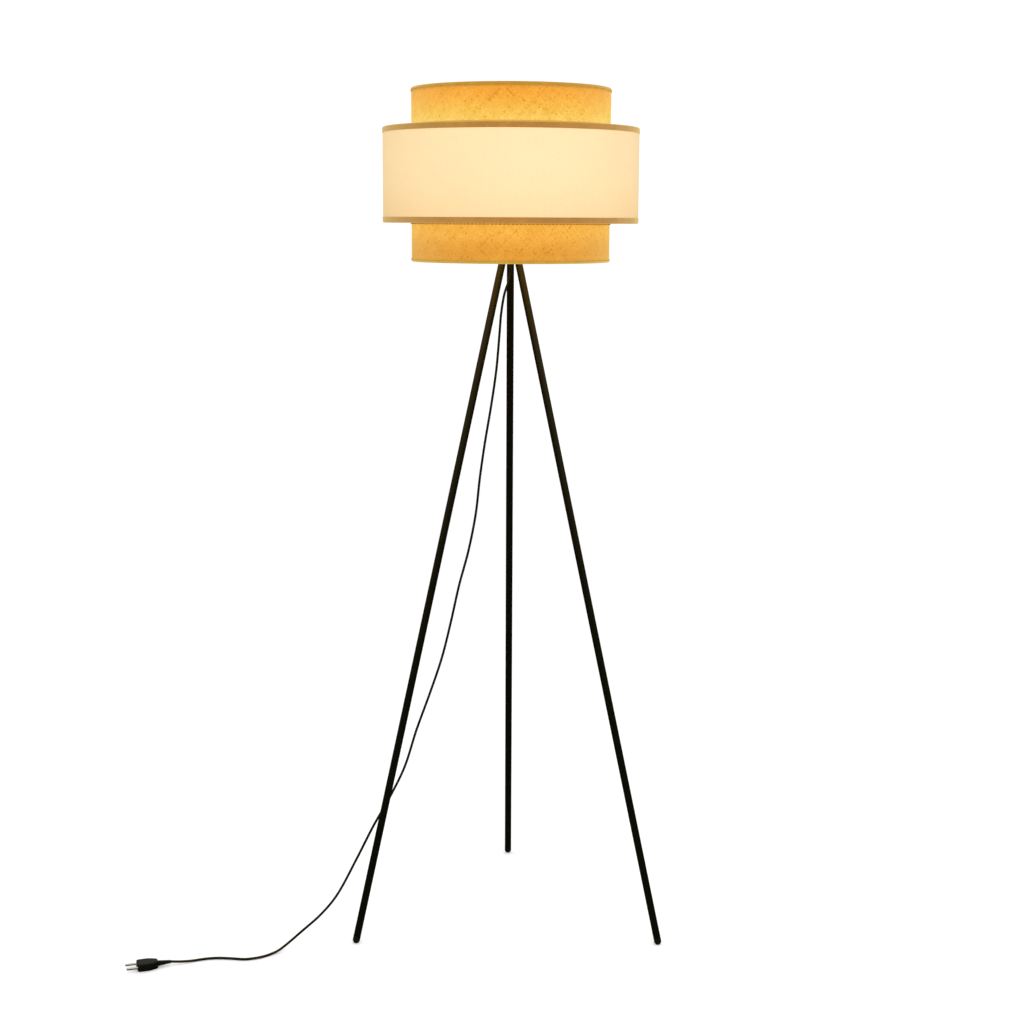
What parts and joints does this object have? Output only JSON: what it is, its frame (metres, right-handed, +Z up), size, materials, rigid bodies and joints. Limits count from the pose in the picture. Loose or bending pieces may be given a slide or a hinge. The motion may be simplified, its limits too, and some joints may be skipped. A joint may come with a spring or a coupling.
{
  "type": "floor lamp",
  "caption": "Tripod floor lamp with straight tube legs, a stepped drum shade of rattan and linen, a screw bulb, a turn switch and a mains cord.",
  "frame": {"origin": "on the floor, under the middle of the box round the feet and the shade, cord left out; the lamp's upright axis is at y = -0.04646", "axes": "+Z up, +Y towards the back foot, so the lamp is seen from -Y in the picture"},
  "size_m": [0.9377, 0.6146, 1.51],
  "materials": {
    "black_paint": "satin black powder coat",
    "zinc": "bright zinc plate",
    "black_rubber": "matt black moulded rubber",
    "black_plastic": "satin black moulded plastic",
    "ceramic": "glazed ceramic",
    "brass": "drawn brass",
    "nickel": "nickel plate",
    "brown_wire": "brown wire insulation",
    "blue_wire": "blue wire insulation",
    "bulb_glass": "clear blown glass",
    "filament": "glowing yellow filament coating",
    "rattan": "fine woven rattan, lit from inside",
    "linen": "natural linen, lit from inside",
    "shade_film": "translucent white lining film",
    "brown_tape": "woven brown edging tape",
    "white_wire": "white enamelled wire",
    "black_cord": "smooth black mains lead"
  },
  "bodies": {
    "stand": {"leg_tube_back": "black_paint", "leg_tube_left": "black_paint", "leg_tube_right": "black_paint", "leg_insert_back": "zinc", "leg_insert_left": "zinc", "leg_insert_right": "zinc", "leg_stud_back": "zinc", "leg_stud_left": "zinc", "leg_stud_right": "zinc", "foot_back": "black_rubber", "foot_left": "black_rubber", "foot_right": "black_rubber", "hub": "black_paint", "cord_grip": "black_rubber", "threaded_tube": "zinc", "lock_nut": "zinc", "lampholder_cap": "black_plastic", "lampholder_sleeve": "black_plastic", "lampholder_core": "ceramic", "screw_shell": "brass", "centre_contact": "brass", "terminal_screw_live": "brass", "wire_live": "brown_wire", "terminal_screw_neutral": "brass", "wire_neutral": "blue_wire", "cord_inside_hub": "black_cord", "cord": "black_cord", "plug": "black_cord", "plug_pin_left": "nickel", "plug_pin_right": "nickel"},
    "switch": {"switch_shaft": "zinc", "switch_knob": "black_plastic"},
    "clamp_ring": {"shade_ring": "black_plastic"},
    "bulb": {"bulb_contact": "nickel", "bulb_insulator": "black_plastic", "bulb_cap": "nickel", "bulb_glass": "bulb_glass", "bulb_stem": "bulb_glass", "bulb_filaments": "filament"},
    "shade": {"upper_tier_skin": "rattan", "upper_tier_liner": "shade_film", "lower_tier_skin": "rattan", "lower_tier_liner": "shade_film", "linen_band_skin": "linen", "linen_band_liner": "shade_film", "upper_tier_top_hem": "rattan", "upper_tier_bottom_hem": "rattan", "lower_tier_top_hem": "rattan", "lower_tier_bottom_hem": "rattan", "band_top_trim": "brown_tape", "band_bottom_trim": "brown_tape", "top_ring": "white_wire", "bottom_ring": "white_wire", "upper_step_frame": "white_wire", "lower_step_frame": "white_wire"}
  },
  "joints": [
    {"name": "shade_turn", "type": "hinge", "parent": "stand", "child": "shade", "pos_m": [0, -0.04646, 1.29], "axis": [0, 0, 1], "continuous": true},
    {"name": "shade_ring_turn", "type": "hinge", "parent": "stand", "child": "clamp_ring", "pos_m": [0, -0.04646, 1.295], "axis": [0, 0, 1], "range_deg": [0, 720]},
    {"name": "bulb_lift", "type": "slide", "parent": "stand", "child": "bulb", "axis": [0, 0, 1], "range_m": [0, 0.23]},
    {"name": "switch_turn", "type": "hinge", "parent": "stand", "child": "switch", "pos_m": [0, -0.06746, 1.2646], "axis": [0, -1, 0], "continuous": true}
  ]
}
